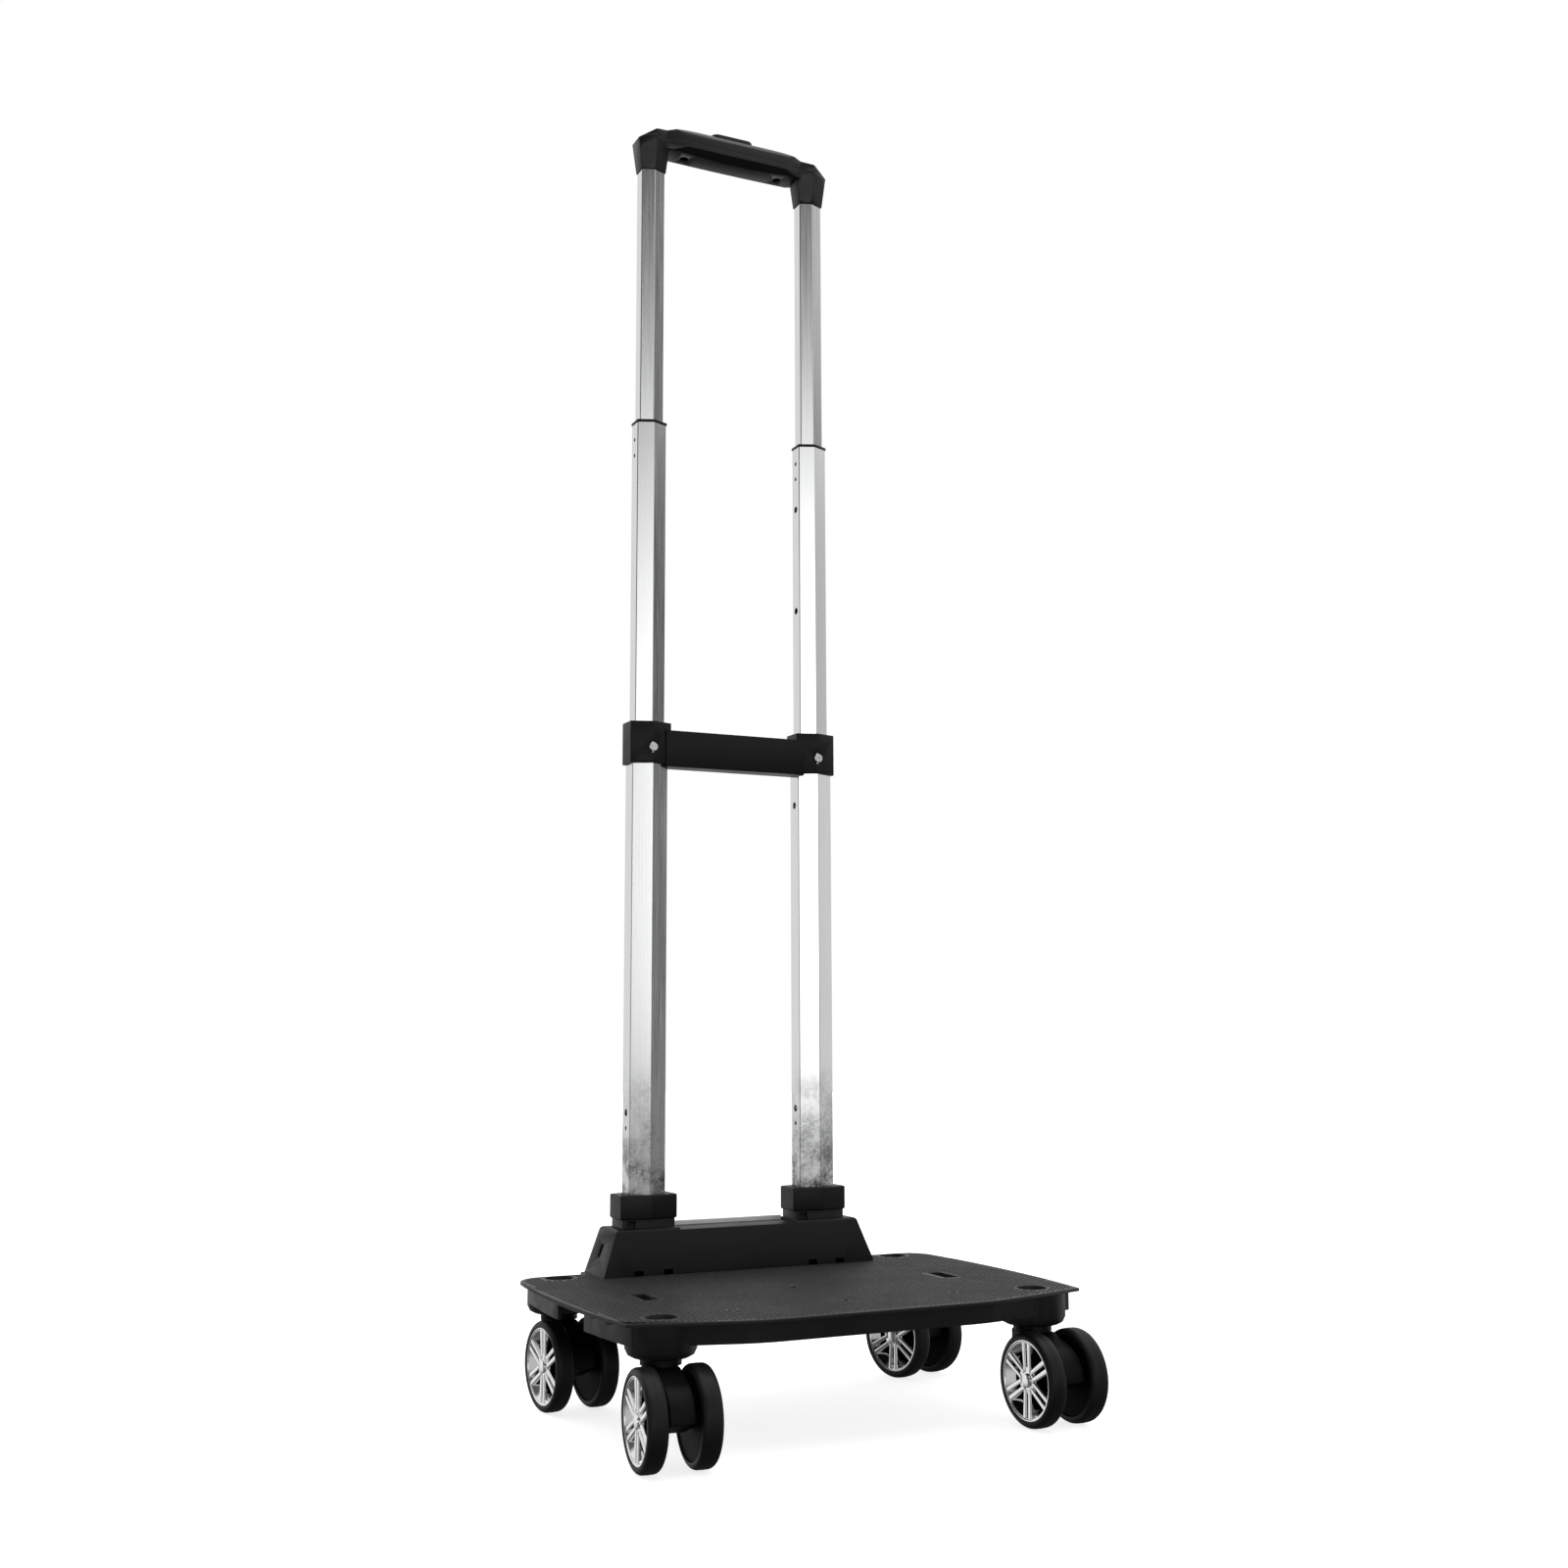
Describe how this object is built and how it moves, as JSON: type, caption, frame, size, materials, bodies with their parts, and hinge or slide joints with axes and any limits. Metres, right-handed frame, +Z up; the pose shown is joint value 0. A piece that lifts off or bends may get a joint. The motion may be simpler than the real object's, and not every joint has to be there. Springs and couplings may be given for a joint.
{
  "type": "platform luggage trolley",
  "caption": "Low flat luggage trolley: ribbed black deck on swivelling twin-wheel casters, with a telescopic two-post handle, brace and push-button grip.",
  "frame": {"origin": "on the floor under the middle of the whole footprint, with the wheels trailing towards the front", "axes": "+Z up, +Y towards the handle at the rear, +X to the right when looking at the trolley from its front"},
  "size_m": [0.336, 0.266, 0.9598],
  "materials": {
    "deck_plastic": "textured black ABS",
    "bracket_plastic": "fine-grain black ABS",
    "grip_plastic": "satin black ABS",
    "guide_plastic": "black acetal",
    "tube_aluminium": "bright drawn aluminium",
    "tie_aluminium": "mill-finish aluminium",
    "screw_steel": "zinc-plated steel",
    "pin_steel": "bright steel",
    "rod_steel": "drawn steel wire",
    "caster_plastic": "black nylon",
    "wheel_plastic": "black polypropylene",
    "tyre_rubber": "black soft polyurethane",
    "trim_chrome": "bright chromed ABS"
  },
  "bodies": {
    "base": {"deck": "deck_plastic", "handle_bracket": "bracket_plastic", "tie_bar": "tie_aluminium", "base_collars": "bracket_plastic", "bracket_screws": "screw_steel", "outer_tube_left": "tube_aluminium", "outer_tube_right": "tube_aluminium", "tube_plugs": "guide_plastic", "guide_bushes": "guide_plastic", "brace": "bracket_plastic", "brace_screws": "screw_steel", "kingpins": "pin_steel"},
    "middle_stage": {"middle_tube_left": "tube_aluminium", "middle_tube_right": "tube_aluminium", "top_rings": "guide_plastic", "middle_lock_blocks": "guide_plastic", "middle_lock_pins": "pin_steel"},
    "handle_stage": {"inner_tube_left": "tube_aluminium", "inner_tube_right": "tube_aluminium", "grip_body": "grip_plastic", "grip_cover": "grip_plastic", "grip_screws": "screw_steel", "inner_lock_blocks": "guide_plastic", "inner_lock_pins": "pin_steel", "button_springs": "rod_steel"},
    "button": {"push_button": "grip_plastic", "release_bar": "guide_plastic", "release_rods": "rod_steel"},
    "caster_front_left": {"caster_housing_front_left": "caster_plastic", "caster_axle_front_left": "pin_steel"},
    "wheel_front_left_left": {"tyre_front_left_left": "tyre_rubber", "wheel_core_front_left_left": "wheel_plastic", "wheel_trim_front_left_left": "trim_chrome"},
    "wheel_front_left_right": {"tyre_front_left_right": "tyre_rubber", "wheel_core_front_left_right": "wheel_plastic", "wheel_trim_front_left_right": "trim_chrome"},
    "caster_front_right": {"caster_housing_front_right": "caster_plastic", "caster_axle_front_right": "pin_steel"},
    "wheel_front_right_left": {"tyre_front_right_left": "tyre_rubber", "wheel_core_front_right_left": "wheel_plastic", "wheel_trim_front_right_left": "trim_chrome"},
    "wheel_front_right_right": {"tyre_front_right_right": "tyre_rubber", "wheel_core_front_right_right": "wheel_plastic", "wheel_trim_front_right_right": "trim_chrome"},
    "caster_rear_left": {"caster_housing_rear_left": "caster_plastic", "caster_axle_rear_left": "pin_steel"},
    "wheel_rear_left_left": {"tyre_rear_left_left": "tyre_rubber", "wheel_core_rear_left_left": "wheel_plastic", "wheel_trim_rear_left_left": "trim_chrome"},
    "wheel_rear_left_right": {"tyre_rear_left_right": "tyre_rubber", "wheel_core_rear_left_right": "wheel_plastic", "wheel_trim_rear_left_right": "trim_chrome"},
    "caster_rear_right": {"caster_housing_rear_right": "caster_plastic", "caster_axle_rear_right": "pin_steel"},
    "wheel_rear_right_left": {"tyre_rear_right_left": "tyre_rubber", "wheel_core_rear_right_left": "wheel_plastic", "wheel_trim_rear_right_left": "trim_chrome"},
    "wheel_rear_right_right": {"tyre_rear_right_right": "tyre_rubber", "wheel_core_rear_right_right": "wheel_plastic", "wheel_trim_rear_right_right": "trim_chrome"}
  },
  "joints": [
    {"name": "middle_slide", "type": "slide", "parent": "base", "child": "middle_stage", "axis": [0, 0, 1], "range_m": [-0.228, 0]},
    {"name": "handle_slide", "type": "slide", "parent": "middle_stage", "child": "handle_stage", "axis": [0, 0, 1], "range_m": [-0.195, 0]},
    {"name": "button_press", "type": "slide", "parent": "handle_stage", "child": "button", "axis": [0, 0, -1], "range_m": [0, 0.004], "stiffness_N_per_m": 900, "springref_m": -0.004, "deforming": ["button_springs"]},
    {"name": "swivel_front_left", "type": "hinge", "parent": "base", "child": "caster_front_left", "pos_m": [-0.1328, -0.079, 0.06], "axis": [0, 0, 1], "continuous": true},
    {"name": "spin_front_left_left", "type": "hinge", "parent": "caster_front_left", "child": "wheel_front_left_left", "pos_m": [-0.13459, -0.10128, 0.03], "axis": [-0.9968, 0.0802, 0], "continuous": true},
    {"name": "spin_front_left_right", "type": "hinge", "parent": "caster_front_left", "child": "wheel_front_left_right", "pos_m": [-0.13459, -0.10128, 0.03], "axis": [-0.9968, 0.0802, 0], "continuous": true},
    {"name": "swivel_front_right", "type": "hinge", "parent": "base", "child": "caster_front_right", "pos_m": [0.1328, -0.079, 0.06], "axis": [0, 0, 1], "continuous": true},
    {"name": "spin_front_right_left", "type": "hinge", "parent": "caster_front_right", "child": "wheel_front_right_left", "pos_m": [0.13362, -0.10133, 0.03], "axis": [-0.9993, -0.0366, 0], "continuous": true},
    {"name": "spin_front_right_right", "type": "hinge", "parent": "caster_front_right", "child": "wheel_front_right_right", "pos_m": [0.13362, -0.10133, 0.03], "axis": [-0.9993, -0.0366, 0], "continuous": true},
    {"name": "swivel_rear_left", "type": "hinge", "parent": "base", "child": "caster_rear_left", "pos_m": [-0.1328, 0.1098, 0.06], "axis": [0, 0, 1], "continuous": true},
    {"name": "spin_rear_left_left", "type": "hinge", "parent": "caster_rear_left", "child": "wheel_rear_left_left", "pos_m": [-0.13085, 0.08754, 0.03], "axis": [-0.9962, -0.0872, 0], "continuous": true},
    {"name": "spin_rear_left_right", "type": "hinge", "parent": "caster_rear_left", "child": "wheel_rear_left_right", "pos_m": [-0.13085, 0.08754, 0.03], "axis": [-0.9962, -0.0872, 0], "continuous": true},
    {"name": "swivel_rear_right", "type": "hinge", "parent": "base", "child": "caster_rear_right", "pos_m": [0.1328, 0.1098, 0.06], "axis": [0, 0, 1], "continuous": true},
    {"name": "spin_rear_right_left", "type": "hinge", "parent": "caster_rear_right", "child": "wheel_rear_right_left", "pos_m": [0.13813, 0.0881, 0.03], "axis": [-0.9711, -0.2385, 0], "continuous": true},
    {"name": "spin_rear_right_right", "type": "hinge", "parent": "caster_rear_right", "child": "wheel_rear_right_right", "pos_m": [0.13813, 0.0881, 0.03], "axis": [-0.9711, -0.2385, 0], "continuous": true}
  ]
}
